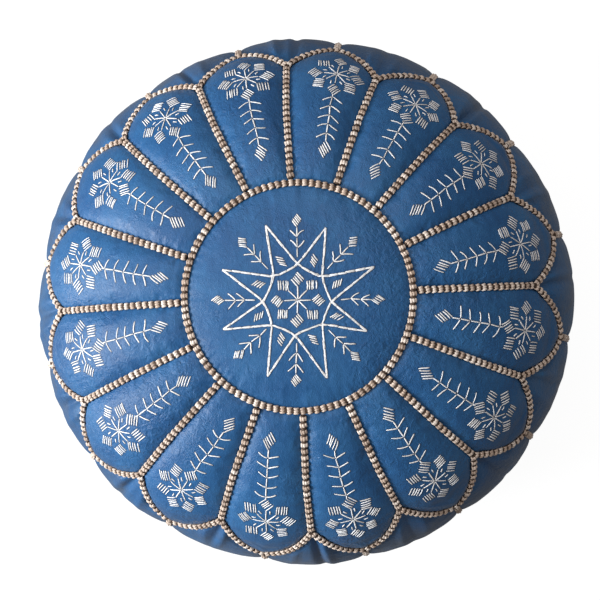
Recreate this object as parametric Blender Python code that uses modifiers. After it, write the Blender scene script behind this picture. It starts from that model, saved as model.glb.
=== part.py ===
"""Moroccan leather pouf: a round cover of sewn leather panels over a stuffed cotton lining.

A medallion and sixteen pointed petals make the top, sixteen panels make the sides, and two
half discs with a zip between them make the base. Thick cord holds every seam. The origin is
on the floor under the middle of the pouf, +Z is up, and the zip runs along X.
"""

import math

import bmesh
import bpy
from mathutils import Matrix, Vector

# Outline of the cover at its seams, in metres.
TOP_HEIGHT = 0.345        # middle of the top
WAIST_RADIUS = 0.270      # widest line of the seams
WAIST_HEIGHT = 0.165      # height of that line
FOOT_RADIUS = 0.180       # seam between the sides and the base
FOOT_HEIGHT = 0.005
CROWN_POWER = 2.5         # superellipse powers above and below the waist
FOOT_POWER = 2.6

# Panels. Seam places are lengths along the outline, measured from the middle of the top.
PETALS = 16
MEDALLION_SEAM = 0.1055   # ring between the medallion and the petals
PETAL_JUNCTION = 0.242    # where two petals and a side panel meet
PETAL_TIP = 0.283
TIP_SHARPNESS = 0.15      # 0 for a round petal end, 1 for a straight-sided point
LEATHER = 0.0016
MEDALLION_SWELL = 0.004   # how far each panel bulges past its seams
PETAL_SWELL = 0.0045
SIDE_SWELL = 0.006
CELLS_ACROSS = 4
PETAL_CELLS_ALONG = 4
SIDE_CELLS_ALONG = 7
ROUND_STEPS = 48

# Seam cord.
CORD_RADIUS = 0.0035
CORD_LIFT = 0.001         # height of the cord's middle over the leather's outer face
GAP = 0.0003              # clearance between pieces that touch
CORD_STATIONS_ALONG = 8

# Filling.
LINING_DEPTH = 0.006      # outer face of the lining, under the leather's outer face
LINING_CLOTH = 0.001
LINING_FLOOR = 0.0105
LINING_SLIT_WIDTH = 0.012
FILLING_STATIONS = 11
FILLING_STEPS = 24

# Zip. Heights are stacked up from the floor, along X it is centred on the base.
ZIP_LENGTH = 0.270
ZIP_WINDOW = 0.012        # width of the slot between the two base halves
ZIP_DRAFT = 0.008         # length over which the slot closes past each end of the zip
TAPE_WIDTH = 0.0132
TAPE_TAIL = 0.012         # tape that runs on past the zip's stops
TAPE_CLOTH = 0.0007
COIL_WIDTH = 0.0024
COIL_THICKNESS = 0.002
HALF_COIL_GAP = 0.0008    # from the zip's middle to each coil
STOP_LENGTH = 0.003
PLATE = 0.001             # wall of the slider
SLIDER_LENGTH = 0.011
SLIDER_WIDTH = 0.0090
SLIDER_POST = 0.0010
RECESS_FLAT = 0.012       # half width of the raised floor along the zip
RECESS_EDGE = 0.045       # half width at which the base is flat on the floor again
PULL_LENGTH = 0.032
PULL_WIDTH = 0.0070
PULL_THICKNESS = 0.001
PULL_EYE = 0.0048         # pivot to the far end of the eye
CROWN_WALL = 0.0008
CROWN_WIDTH = 0.0024
CROWN_HALF_LENGTH = 0.0036

CROWN_BOTTOM = 0.0006
PULL_AXIS_HEIGHT = CROWN_BOTTOM + CROWN_WALL + 0.001
LOWER_PLATE_BOTTOM = PULL_AXIS_HEIGHT + 0.001
COIL_BOTTOM = LOWER_PLATE_BOTTOM + PLATE + 0.0004
TAPE_BOTTOM = COIL_BOTTOM + COIL_THICKNESS + GAP
UPPER_PLATE_BOTTOM = TAPE_BOTTOM + TAPE_CLOTH + GAP
RECESS_DEPTH = TAPE_BOTTOM - GAP - LEATHER
SLIDER_CLOSED_X = ZIP_LENGTH / 2 - STOP_LENGTH - SLIDER_LENGTH / 2 - 0.0005

STEP = 2 * math.pi / PETALS
SEAM_MARGIN = CORD_RADIUS + GAP

MATERIALS = {
    "leather_blue": ((0.045, 0.135, 0.315), 0.38, 0.0),
    "seam_thread": ((0.42, 0.27, 0.15), 0.75, 0.0),
    "cotton_lining": ((0.72, 0.66, 0.55), 0.9, 0.0),
    "stuffing": ((0.78, 0.75, 0.70), 0.95, 0.0),
    "zip_tape": ((0.020, 0.045, 0.095), 0.9, 0.0),
    "zip_coil": ((0.015, 0.035, 0.075), 0.45, 0.0),
    "zip_metal": ((0.55, 0.42, 0.20), 0.3, 1.0),
}


def remove_everything():
    for thing in list(bpy.data.objects):
        bpy.data.objects.remove(thing, do_unlink=True)


def make_material(name):
    colour, roughness, metallic = MATERIALS[name]
    material = bpy.data.materials.new(name)
    material.use_nodes = True
    shader = material.node_tree.nodes["Principled BSDF"]
    shader.inputs["Base Color"].default_value = (*colour, 1.0)
    shader.inputs["Roughness"].default_value = roughness
    shader.inputs["Metallic"].default_value = metallic
    return material


def make_collection(name):
    collection = bpy.data.collections.new(name)
    bpy.context.scene.collection.children.link(collection)
    return collection


remove_everything()
PALETTE = {name: make_material(name) for name in MATERIALS}
POUF = make_collection("moroccan_leather_pouf")
CUTTERS = make_collection("cutters")


# ---------------------------------------------------------------- outline of the cover

def outline_samples(count=300):
    """Points (radius, height) of the half outline, from the top centre to the foot seam."""
    foot_angle = math.acos((FOOT_RADIUS / WAIST_RADIUS) ** (FOOT_POWER / 2))
    foot_drop = (WAIST_HEIGHT - FOOT_HEIGHT) / math.sin(foot_angle) ** (2 / FOOT_POWER)
    points = []
    for i in range(count + 1):
        angle = (1 - i / count) * math.pi / 2
        radius = WAIST_RADIUS * max(math.cos(angle), 0.0) ** (2 / CROWN_POWER)
        rise = (TOP_HEIGHT - WAIST_HEIGHT) * math.sin(angle) ** (2 / CROWN_POWER)
        points.append((radius, WAIST_HEIGHT + rise))
    for i in range(1, count + 1):
        angle = foot_angle * i / count
        radius = WAIST_RADIUS * math.cos(angle) ** (2 / FOOT_POWER)
        points.append((radius, WAIST_HEIGHT - foot_drop * math.sin(angle) ** (2 / FOOT_POWER)))
    points[0] = (0.0, TOP_HEIGHT)
    return points


def running_lengths(points):
    lengths = [0.0]
    for (r0, z0), (r1, z1) in zip(points, points[1:]):
        lengths.append(lengths[-1] + math.hypot(r1 - r0, z1 - z0))
    return lengths


OUTLINE = outline_samples()
LENGTHS = running_lengths(OUTLINE)
FOOT_SEAM = LENGTHS[-1]


def outline_at(length):
    """Radius and height at a length along the outline."""
    last = len(LENGTHS) - 1
    low, high = 0, last
    while high - low > 1:
        middle = (low + high) // 2
        if LENGTHS[middle] <= length:
            low = middle
        else:
            high = middle
    share = (length - LENGTHS[low]) / (LENGTHS[high] - LENGTHS[low])
    (r0, z0), (r1, z1) = OUTLINE[low], OUTLINE[high]
    return r0 + share * (r1 - r0), z0 + share * (z1 - z0)


def section_point(length, lift=0.0):
    """Point (radius, height) that stands off the outline by lift, square to it."""
    reach = 0.002
    r0, z0 = outline_at(max(length - reach, 0.0))
    r1, z1 = outline_at(min(length + reach, FOOT_SEAM))
    along = math.hypot(r1 - r0, z1 - z0)
    radius, height = outline_at(length)
    if length == 0.0:
        return 0.0, height + lift
    return radius - lift * (z1 - z0) / along, height + lift * (r1 - r0) / along


def cover_point(angle, length, lift=0.0):
    radius, height = section_point(length, lift)
    return Vector((radius * math.cos(angle), radius * math.sin(angle), height))


def scallop(angle):
    """Place of the scalloped seam at an angle, and how steeply it crosses the panels there."""
    share = (angle / STEP) % 1.0
    climb = 1 - abs(2 * share - 1)
    quarter = math.pi / 2
    rise = (1 - TIP_SHARPNESS) * math.sin(quarter * climb) + TIP_SHARPNESS * climb
    rate = (1 - TIP_SHARPNESS) * quarter * math.cos(quarter * climb) + TIP_SHARPNESS
    length = PETAL_JUNCTION + (PETAL_TIP - PETAL_JUNCTION) * rise
    steepness = 2 * rate * (PETAL_TIP - PETAL_JUNCTION) / (STEP * outline_at(length)[0])
    return length, steepness


def scallop_edge(angle, side):
    """Edge of a panel next to the scalloped seam: side -1 for petals, +1 for side panels."""
    length, steepness = scallop(angle)
    return length + side * SEAM_MARGIN * math.hypot(1.0, steepness)


# ---------------------------------------------------------------- object helpers

def add_mesh(name, mesh, slot, collection=None, smooth_angle=40):
    thing = bpy.data.objects.new(name, mesh)
    (collection or POUF).objects.link(thing)
    mesh.materials.append(PALETTE[slot])
    if smooth_angle:
        mesh.shade_smooth()
        mesh.set_sharp_from_angle(angle=math.radians(smooth_angle))
    return thing


def mesh_from(work, name):
    mesh = bpy.data.meshes.new(name)
    work.to_mesh(mesh)
    work.free()
    return mesh


def leather_panel(name, cells_across, cells_along, place):
    """Grid laid on the cover by place(u, v) and thickened inwards to the leather's gauge."""
    work = bmesh.new()
    bmesh.ops.create_grid(work, x_segments=cells_across, y_segments=cells_along, size=1)
    for corner in work.verts:
        corner.co = place((1 + corner.co.x) / 2, (1 - corner.co.y) / 2)
    bmesh.ops.remove_doubles(work, verts=work.verts, dist=0.00001)
    panel = add_mesh(name, mesh_from(work, name), "leather_blue")
    thicken(panel, LEATHER)
    return panel


def thicken(thing, thickness):
    solidify = thing.modifiers.new("Thickness", "SOLIDIFY")
    solidify.thickness = thickness
    solidify.offset = -1


def turned(name, profile, slot, steps):
    """Solid of revolution from a profile that runs down its outer side."""
    mesh = bpy.data.meshes.new(name)
    edges = [(i, i + 1) for i in range(len(profile) - 1)]
    mesh.from_pydata([(radius, 0.0, height) for radius, height in profile], edges, [])
    thing = add_mesh(name, mesh, slot, smooth_angle=0)
    screw = thing.modifiers.new("Turn", "SCREW")
    screw.steps = steps
    screw.render_steps = steps
    screw.use_merge_vertices = True
    screw.merge_threshold = 0.00001
    return thing


def block(name, slot, low, high, collection=None):
    """Box between two corners, with its origin at its middle."""
    low, high = Vector(low), Vector(high)
    work = bmesh.new()
    bmesh.ops.create_cube(work, size=1)
    bmesh.ops.scale(work, vec=high - low, verts=work.verts)
    thing = add_mesh(name, mesh_from(work, name), slot, collection, smooth_angle=0)
    thing.location = (low + high) / 2
    return thing


def mesh_of_curve(curve, name, slot, matrix, collection=None):
    """Welded mesh object of a curve that stands where matrix puts it."""
    holder = bpy.data.objects.new(name + "_curve", curve)
    bpy.context.scene.collection.objects.link(holder)
    holder.matrix_world = matrix
    bpy.context.view_layer.update()
    evaluated = holder.evaluated_get(bpy.context.evaluated_depsgraph_get())
    mesh = bpy.data.meshes.new_from_object(evaluated)
    work = bmesh.new()
    work.from_mesh(mesh)
    bmesh.ops.remove_doubles(work, verts=work.verts, dist=0.000001)
    work.to_mesh(mesh)
    work.free()
    thing = add_mesh(name, mesh, slot, collection)
    thing.matrix_world = holder.matrix_world
    bpy.data.objects.remove(holder, do_unlink=True)
    return thing


def add_route(curve, points, closed):
    spline = curve.splines.new("POLY")
    spline.points.add(len(points) - 1)
    for knot, point in zip(spline.points, points):
        knot.co = (*point, 1.0)
    spline.use_cyclic_u = closed


def cord(name, routes, closed, collection=None):
    """Seam cord along one or more routes, as a mesh."""
    curve = bpy.data.curves.new(name, "CURVE")
    curve.dimensions = "3D"
    curve.bevel_depth = CORD_RADIUS
    curve.bevel_resolution = 1
    curve.use_fill_caps = True
    for points in routes:
        add_route(curve, points, closed)
    return mesh_of_curve(curve, name, "seam_thread", Matrix.Identity(4), collection)


def cut_plate(name, outlines, thickness, slot, matrix, collection=None):
    """Flat piece from closed outlines in its own XY plane; an inner outline is a hole."""
    curve = bpy.data.curves.new(name, "CURVE")
    curve.dimensions = "2D"
    curve.fill_mode = "BOTH"
    curve.extrude = thickness / 2
    for outline in outlines:
        add_route(curve, [(x, y, 0.0) for x, y in outline], True)
    return mesh_of_curve(curve, name, slot, matrix, collection)


def combine(thing, tool, operation):
    boolean = thing.modifiers.new(operation.title(), "BOOLEAN")
    boolean.operation = operation
    boolean.object = tool
    tool.hide_render = True
    tool.display_type = "WIRE"


# ---------------------------------------------------------------- leather cover

def make_medallion():
    edge = MEDALLION_SEAM - SEAM_MARGIN
    stations = [edge * i / 4 for i in range(5)]

    def swell(length):
        return MEDALLION_SWELL * (1 - (length / edge) ** 2)

    outer = [section_point(length, swell(length)) for length in stations]
    inner = [section_point(length, swell(length) - LEATHER) for length in reversed(stations)]
    turned("top_medallion", outer + inner, "leather_blue", ROUND_STEPS)


def swell_share(u, v):
    """Bulge of a panel: none at its edges, full along its middle."""
    return 4 * u * (1 - u) * (4 * v * (1 - v)) ** 0.4


def angle_between_seams(first_seam, u, length):
    """Angle at share u of the panel that starts at a seam, held back from both seams."""
    margin = SEAM_MARGIN / outline_at(length)[0]
    return first_seam + margin + u * (STEP - 2 * margin)


def make_petal(index):
    inner_edge = MEDALLION_SEAM + SEAM_MARGIN

    def place(u, v):
        rough_end = scallop((index + u) * STEP)[0]
        angle = angle_between_seams(index * STEP, u, inner_edge + v * (rough_end - inner_edge))
        outer_edge = scallop_edge(angle, -1)
        length = inner_edge + v * (outer_edge - inner_edge)
        return cover_point(angle, length, PETAL_SWELL * swell_share(u, v))

    leather_panel(f"petal_{index + 1:02d}", CELLS_ACROSS, PETAL_CELLS_ALONG, place)


def make_side_panel(index):
    bottom_edge = FOOT_SEAM - SEAM_MARGIN
    first_seam = (index + 0.5) * STEP

    def place(u, v):
        rough_top = scallop(first_seam + u * STEP)[0]
        angle = angle_between_seams(first_seam, u, rough_top + v * (bottom_edge - rough_top))
        top_edge = scallop_edge(angle, 1)
        length = top_edge + v * (bottom_edge - top_edge)
        return cover_point(angle, length, SIDE_SWELL * swell_share(u, v))

    leather_panel(f"side_panel_{index + 1:02d}", CELLS_ACROSS, SIDE_CELLS_ALONG, place)


def smooth_step(value, start, end):
    share = min(max((value - start) / (end - start), 0.0), 1.0)
    return share * share * (3 - 2 * share)


def base_height(x, y):
    """Underside of the base: flat on the floor, hollowed along the zip."""
    tape_end = ZIP_LENGTH / 2 + TAPE_TAIL
    across = 1 - smooth_step(abs(y), RECESS_FLAT, RECESS_EDGE)
    along = 1 - smooth_step(abs(x), tape_end, FOOT_RADIUS - SEAM_MARGIN)
    return RECESS_DEPTH * across * along


def slot_edge(x):
    """Half width of the slot between the base halves: the zip's window, then nearly shut."""
    shut = smooth_step(abs(x), ZIP_LENGTH / 2 + 0.001, ZIP_LENGTH / 2 + ZIP_DRAFT)
    return ZIP_WINDOW / 2 + shut * (GAP - ZIP_WINDOW / 2)


def make_base_halves():
    """Half disc in front of the zip, and the same piece turned round behind it."""
    rim = FOOT_RADIUS - SEAM_MARGIN
    corner = math.sqrt(rim ** 2 - GAP ** 2)
    window = ZIP_LENGTH / 2 + 0.001
    window_cells, end_cells = 8, 5
    stations = [window * i / (window_cells / 2) for i in range(window_cells // 2 + 1)]
    stations.append(ZIP_LENGTH / 2 + ZIP_DRAFT)
    start = stations[-1]
    for i in range(1, end_cells):
        stations.append(start + (corner - start) * math.sin(i / (end_cells - 1) * math.pi / 2))
    stations = [-x for x in reversed(stations[1:])] + stations
    cells_along_zip = len(stations) - 1

    def place(u, v):
        x = stations[round(u * cells_along_zip)]
        inner = slot_edge(x)
        outer = max(math.sqrt(max(rim ** 2 - x ** 2, 0.0)), inner)
        y = inner + (outer - inner) * (1 - v) ** 1.5
        return Vector((x, -y, base_height(x, y)))

    front = leather_panel("base_half_front", cells_along_zip, 6, place)
    rear = leather_panel("base_half_rear", cells_along_zip, 6, place)
    rear.rotation_euler.z = math.pi
    return front, rear


# ---------------------------------------------------------------- seam cord

def make_medallion_seam():
    ring = [cover_point(2 * math.pi * i / ROUND_STEPS, MEDALLION_SEAM, CORD_LIFT)
            for i in range(ROUND_STEPS)]
    cord("medallion_seam", [ring], True)


def cord_run(angle, start, end, stations):
    return [cover_point(angle, start + (end - start) * i / stations, CORD_LIFT)
            for i in range(stations + 1)]


def make_petal_seams():
    """Scalloped cord round the petal ends, joined by the cords between the petals."""
    count = PETALS * CELLS_ACROSS
    angles = [2 * math.pi * i / count for i in range(count)]
    wave = [cover_point(angle, scallop(angle)[0], CORD_LIFT) for angle in angles]
    seams = cord("petal_seams", [wave], True)
    start = MEDALLION_SEAM + 2 * SEAM_MARGIN - CORD_RADIUS + GAP
    spokes = [cord_run(i * STEP, start, PETAL_JUNCTION, PETAL_CELLS_ALONG) for i in range(PETALS)]
    combine(seams, cord("petal_seam_spokes", spokes, False, CUTTERS), "UNION")


def make_side_seams():
    """Cord round the foot, joined by the cords that run down from the petal tips."""
    ring_radius, ring_height = section_point(FOOT_SEAM, CORD_LIFT)
    ring_height = max(ring_height, CORD_RADIUS + 0.0006)
    ring = [(ring_radius * math.cos(2 * math.pi * i / ROUND_STEPS),
             ring_radius * math.sin(2 * math.pi * i / ROUND_STEPS), ring_height)
            for i in range(ROUND_STEPS)]
    seams = cord("side_seams", [ring], True)
    start = PETAL_TIP + 2 * SEAM_MARGIN - CORD_RADIUS + 3 * GAP
    runs = []
    for i in range(PETALS):
        run = cord_run((i + 0.5) * STEP, start, FOOT_SEAM, CORD_STATIONS_ALONG)
        run[-1].z = ring_height
        runs.append(run)
    combine(seams, cord("side_seam_runs", runs, False, CUTTERS), "UNION")


# ---------------------------------------------------------------- filling

def filling_profile(depth, floor):
    """Outer side of a body that fills the cover, from its top to the middle of its floor."""
    low, high = 0.0, FOOT_SEAM
    while high - low > 0.0001:
        middle = (low + high) / 2
        if section_point(middle, -depth)[1] > floor:
            low = middle
        else:
            high = middle
    side = [section_point(low * i / FILLING_STATIONS, -depth) for i in range(FILLING_STATIONS)]
    corner_radius = section_point(low, -depth)[0]
    return side + [(corner_radius, floor), (corner_radius / 2, floor), (0.0, floor)]


def make_lining():
    """Cotton bag with a slit over the zip."""
    lining = turned("cotton_lining", filling_profile(LINING_DEPTH, LINING_FLOOR),
                    "cotton_lining", FILLING_STEPS)
    thicken(lining, LINING_CLOTH)
    half = ZIP_LENGTH / 2
    slit = block("lining_slit", "cotton_lining",
                 (-half, -LINING_SLIT_WIDTH / 2, LINING_FLOOR - 0.005),
                 (half, LINING_SLIT_WIDTH / 2, LINING_FLOOR + 0.005), CUTTERS)
    combine(lining, slit, "DIFFERENCE")


def make_stuffing():
    clearance = LINING_CLOTH + 0.0015
    profile = filling_profile(LINING_DEPTH + clearance, LINING_FLOOR + clearance)
    turned("stuffing", profile, "stuffing", FILLING_STEPS)


# ---------------------------------------------------------------- zip

def make_zip_tapes_and_coils():
    half = ZIP_LENGTH / 2
    tape_half = half + TAPE_TAIL
    for word, side in (("front", -1), ("rear", 1)):
        tape_edges = sorted((side * HALF_COIL_GAP, side * (HALF_COIL_GAP + TAPE_WIDTH)))
        coil_edges = sorted((side * HALF_COIL_GAP, side * (HALF_COIL_GAP + COIL_WIDTH)))
        stop_edges = sorted((side * HALF_COIL_GAP, side * (HALF_COIL_GAP + COIL_WIDTH + 0.0003)))
        block(f"zip_tape_{word}", "zip_tape", (-tape_half, tape_edges[0], TAPE_BOTTOM),
              (tape_half, tape_edges[1], TAPE_BOTTOM + TAPE_CLOTH))
        block(f"zip_coil_{word}", "zip_coil",
              (-half + STOP_LENGTH + GAP, coil_edges[0], COIL_BOTTOM),
              (half - STOP_LENGTH - GAP, coil_edges[1], COIL_BOTTOM + COIL_THICKNESS))
        block(f"zip_top_stop_{word}", "zip_metal",
              (half - STOP_LENGTH, stop_edges[0], COIL_BOTTOM - 0.0002),
              (half, stop_edges[1], COIL_BOTTOM + COIL_THICKNESS))
    stop_width = HALF_COIL_GAP + COIL_WIDTH + 0.0003
    block("zip_bottom_stop", "zip_metal", (-half, -stop_width, COIL_BOTTOM - 0.0002),
          (-half + STOP_LENGTH, stop_width, COIL_BOTTOM + COIL_THICKNESS))


def slider_channel():
    """Cross-section of the slider's lower plate, y by z, with a flange up each side."""
    wide = SLIDER_WIDTH / 2
    lip = wide - 0.0008
    bottom, floor = LOWER_PLATE_BOTTOM, LOWER_PLATE_BOTTOM + PLATE
    flange_top = TAPE_BOTTOM - 0.0004
    right = [(wide, bottom), (wide, flange_top), (lip, flange_top), (lip, floor)]
    return right + [(-y, z) for y, z in reversed(right)]


def make_zip_slider():
    """Slider: two plates on a post, and a bridge under the lower one that holds the pull."""
    along_x = Matrix(((0, 0, 1, SLIDER_CLOSED_X), (1, 0, 0, 0), (0, 1, 0, 0), (0, 0, 0, 1)))
    slider = cut_plate("zip_slider", [slider_channel()], SLIDER_LENGTH, "zip_metal", along_x)

    reach, wide, post = SLIDER_LENGTH / 2, SLIDER_WIDTH / 2, SLIDER_POST / 2
    upper_middle = UPPER_PLATE_BOTTOM + PLATE / 2
    lower_middle = LOWER_PLATE_BOTTOM + PLATE / 2
    combine(slider, block("slider_post", "zip_metal",
                          (SLIDER_CLOSED_X - reach + 0.001, -post, lower_middle),
                          (SLIDER_CLOSED_X + reach - 0.001, post, upper_middle), CUTTERS), "UNION")
    combine(slider, block("slider_upper_plate", "zip_metal",
                          (SLIDER_CLOSED_X - reach, -wide, UPPER_PLATE_BOTTOM),
                          (SLIDER_CLOSED_X + reach, wide, UPPER_PLATE_BOTTOM + PLATE), CUTTERS),
            "UNION")

    half, wall = CROWN_HALF_LENGTH, CROWN_WALL
    root = lower_middle
    bridge = [(-half, root), (-half, CROWN_BOTTOM + wall), (-half + wall, CROWN_BOTTOM),
              (half - wall, CROWN_BOTTOM), (half, CROWN_BOTTOM + wall), (half, root),
              (half - wall, root), (half - wall, CROWN_BOTTOM + wall),
              (-half + wall, CROWN_BOTTOM + wall), (-half + wall, root)]
    across_y = Matrix(((1, 0, 0, SLIDER_CLOSED_X), (0, 0, -1, 0), (0, 1, 0, 0), (0, 0, 0, 1)))
    combine(slider, cut_plate("slider_bridge", [bridge], CROWN_WIDTH, "zip_metal", across_y,
                              CUTTERS), "UNION")


def arc(centre_x, centre_y, radius, start, end, steps):
    return [(centre_x + radius * math.cos(start + (end - start) * i / steps),
             centre_y + radius * math.sin(start + (end - start) * i / steps))
            for i in range(steps + 1)]


def make_zip_pull():
    """Pull tab that turns about Y on the slider's bridge; it lies flat towards -X."""
    bar = PULL_THICKNESS / 2
    arm = CROWN_WIDTH / 2 + GAP
    eye_half = arm + 0.0011
    end_radius = PULL_WIDTH / 2
    end_x = -(PULL_LENGTH - end_radius)
    rim = [(bar, -eye_half), (bar, eye_half), (-PULL_EYE, eye_half), (-PULL_EYE - 0.004, end_radius)]
    rim += arc(end_x, 0, end_radius, math.pi / 2, 3 * math.pi / 2, 8)
    rim += [(-PULL_EYE - 0.004, -end_radius), (-PULL_EYE, -eye_half)]
    eye = [(-bar, -arm), (-bar, arm), (-PULL_EYE, arm), (-PULL_EYE, -arm)]
    finger_hole = arc(end_x, 0, end_radius - 0.0018, 0, 2 * math.pi * 11 / 12, 11)
    hinge = Matrix.Translation((SLIDER_CLOSED_X, 0, PULL_AXIS_HEIGHT))
    cut_plate("zip_pull", [rim, eye, finger_hole], PULL_THICKNESS, "zip_metal", hinge)


make_medallion()
for number in range(PETALS):
    make_petal(number)
    make_side_panel(number)
make_base_halves()
make_medallion_seam()
make_petal_seams()
make_side_seams()
make_lining()
make_stuffing()
make_zip_tapes_and_coils()
make_zip_slider()
make_zip_pull()
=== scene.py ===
"""Looks of the Moroccan leather pouf: stuffed leather, sewn cord, embroidery and a zip.

Everything is laid on the outline of the frame's cover. Angles are round Z from +X, and a
length is measured along the outline from the middle of the top.
"""
import cmath
import math

import bmesh
import bpy
import numpy as np
from mathutils import Matrix, Vector


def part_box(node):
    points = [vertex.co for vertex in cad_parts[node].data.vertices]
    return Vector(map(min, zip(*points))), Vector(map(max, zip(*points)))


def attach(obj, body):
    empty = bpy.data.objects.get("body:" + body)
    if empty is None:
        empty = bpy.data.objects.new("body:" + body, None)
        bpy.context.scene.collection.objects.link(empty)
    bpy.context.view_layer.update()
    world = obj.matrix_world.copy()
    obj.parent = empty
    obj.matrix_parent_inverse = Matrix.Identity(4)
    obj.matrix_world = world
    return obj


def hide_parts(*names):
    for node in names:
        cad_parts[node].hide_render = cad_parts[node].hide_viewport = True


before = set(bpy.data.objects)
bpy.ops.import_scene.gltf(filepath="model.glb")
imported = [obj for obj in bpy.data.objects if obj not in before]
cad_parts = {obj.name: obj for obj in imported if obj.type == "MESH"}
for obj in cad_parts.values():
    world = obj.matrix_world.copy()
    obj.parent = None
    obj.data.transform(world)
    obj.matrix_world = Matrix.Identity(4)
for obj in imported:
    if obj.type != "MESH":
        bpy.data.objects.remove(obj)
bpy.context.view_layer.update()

RANDOM = np.random.default_rng(16)

# Outline and seams: the frame's, read from its boxes where a box shows them.
PETALS = 16
STEP = 2 * math.pi / PETALS
FILLING_DEPTH = 0.0085
SEAM_MARGIN = 0.0038
TOP_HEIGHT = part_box("stuffing")[1].z + FILLING_DEPTH
WAIST_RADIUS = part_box("stuffing")[1].x + FILLING_DEPTH
WAIST_HEIGHT = 0.165
FOOT_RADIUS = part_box("base_half_front")[1].x + SEAM_MARGIN
FOOT_HEIGHT = 0.005
CROWN_POWER = 2.5
FOOT_POWER = 2.6
MEDALLION_SEAM = 0.1055
PETAL_JUNCTION = 0.239
PETAL_TIP = 0.283
TIP_SHARPNESS = 0.28
LEATHER = 0.0016
GAP = 0.0003

# Stuffed leather.
SEAM_DIP = 0.0034  # how deep the leather's edge is drawn in under the cord
DIP_REACH = 0.0024
PETAL_SWELL = 0.0062
SIDE_SWELL = 0.0028
FOLD_DEPTH = 0.0090  # gathers of the side panels below the petals' junctions
FOLDS = ((0.0, 0.04, -1.0), (-0.11, 0.05, 0.5), (0.12, 0.05, 0.6))  # place, width, depth
MEDALLION_SWELL = 0.0038
SWELL_REACH = 0.014  # distance from a seam over which a panel fills out
PUCKER = 0.0005  # dimples that the stitches draw in the leather
PUCKER_REACH = 0.0045
RIPPLE = 0.00042  # wider ripples that run into the leather from its seams
RIPPLE_REACH = 0.011
GRID_SPACING = 0.0034
CROWDING = 0.42  # how much closer the grid's lines stand at a panel's edges

# Cloth pass over the stuffed leather.
CLOTH_FRAMES = 14
CLOTH_GROWTH = 0.009
CLOTH_CAP = 0.006

# Hand work, which strays from the even pattern.
HAND_WAVE = 0.0015  # unevenness of a cover that is stuffed by hand
SEAM_TURN = 0.016
JUNCTION_SLIP = (0.0050, -0.0015)
TIP_SLIP = (0.0019, 0.0060)
SLIP_REACH = 0.034  # stretch of leather that follows a strayed seam
FLAKE_SLIP = (0.0022, -0.0026)
FLAKE_TURN = 0.009

# Sewn cord.
STITCH_PITCH = 0.0063
CORD_HALF_WIDTH = 0.0036
STRAND_RADIUS = 0.00135
CORE_RADIUS = 0.0022
STRAND_DIVE = 0.0017  # how deep the ends of a strand go into the leather
CORD_LIFT = 0.0006
CORD_FLOOR = 0.0004  # no cord comes lower than this
SIDE_CORD_SINK = 0.0022  # the side cords lie deeper between their swollen panels

# Embroidery, in metres on the leather.
THREAD_WIDTH = 0.00116
THREAD_HEIGHT = 0.0009
RAYS = 8  # of the star and of every snowflake
RAY_STEP = 2 * math.pi / RAYS
STAR_SHIFT = -0.0006 - 0.0036j
STAR_TURN = math.radians(-3.0)
FLAKE_PLACE = 0.2200


# ---- outline of the cover

def superellipse(angle, power):
    """Distances out and up from the middle of a superellipse, as shares of its half axes."""
    return np.clip(np.cos(angle), 0, 1) ** (2 / power), np.sin(angle) ** (2 / power)


def outline_table(count=400):
    """Length, radius and height of the half outline, and its normal, top to foot seam."""
    foot_angle = math.acos((FOOT_RADIUS / WAIST_RADIUS) ** (FOOT_POWER / 2))
    foot_drop = (WAIST_HEIGHT - FOOT_HEIGHT) / math.sin(foot_angle) ** (2 / FOOT_POWER)
    crown_out, crown_up = superellipse(np.linspace(math.pi / 2, 0, count + 1), CROWN_POWER)
    foot_out, foot_down = superellipse(np.linspace(0, foot_angle, count + 1)[1:], FOOT_POWER)
    radius = WAIST_RADIUS * np.concatenate([crown_out, foot_out])
    rise = (TOP_HEIGHT - WAIST_HEIGHT) * crown_up
    height = WAIST_HEIGHT + np.concatenate([rise, -foot_drop * foot_down])
    radius[0] = 0.0
    length = np.concatenate([[0], np.cumsum(np.hypot(np.diff(radius), np.diff(height)))])
    even = np.linspace(0, length[-1], 2 * count)
    radius, height = np.interp(even, length, radius), np.interp(even, length, height)
    run, rise = np.gradient(radius), np.gradient(height)
    size = np.hypot(run, rise)
    return even, radius, height, -rise / size, run / size


LENGTHS, RADII, HEIGHTS, OUTWARD, UPWARD = outline_table()
FOOT_SEAM = LENGTHS[-1]


def radius_at(length):
    return np.interp(length, LENGTHS, RADII)


def hand_shape(angle, length):
    """Slight unevenness of a cover that is stuffed by hand, none at the middle or the foot."""
    weight = np.clip((length - 0.08) / 0.2, 0, 1) * np.clip((FOOT_SEAM - length) / 0.12, 0, 1)
    wave = 1.5 * np.cos(2 * angle) + 0.5 * np.sin(3 * angle + 0.7 + 6 * length)
    wave = wave + 0.4 * np.sin(5 * angle + 2.1) + 0.3 * np.sin(8 * angle - 9 * length + 4.0)
    lean = 2.1 * np.cos(angle) * np.clip((length - 0.26) / 0.07, 0, 1)
    return HAND_WAVE * weight * (wave + lean)


def close_to(seam, length):
    return np.exp(-((length - seam) / SLIP_REACH) ** 2)


def strayed(angle, length):
    """Where hand sewing put a place of the even pattern: turned, and slipped at two seams."""
    turn = SEAM_TURN * np.sin(angle) * np.clip((0.26 - length) / 0.08, 0, 1)
    junction_slip = JUNCTION_SLIP[0] * np.cos(angle) + JUNCTION_SLIP[1] * np.sin(angle)
    tip_slip = TIP_SLIP[0] * (1 - np.cos(angle)) + TIP_SLIP[1] * np.sin(angle)
    slip = junction_slip * close_to(PETAL_JUNCTION, length) + tip_slip * close_to(PETAL_TIP, length)
    return angle + turn, length - slip


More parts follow.
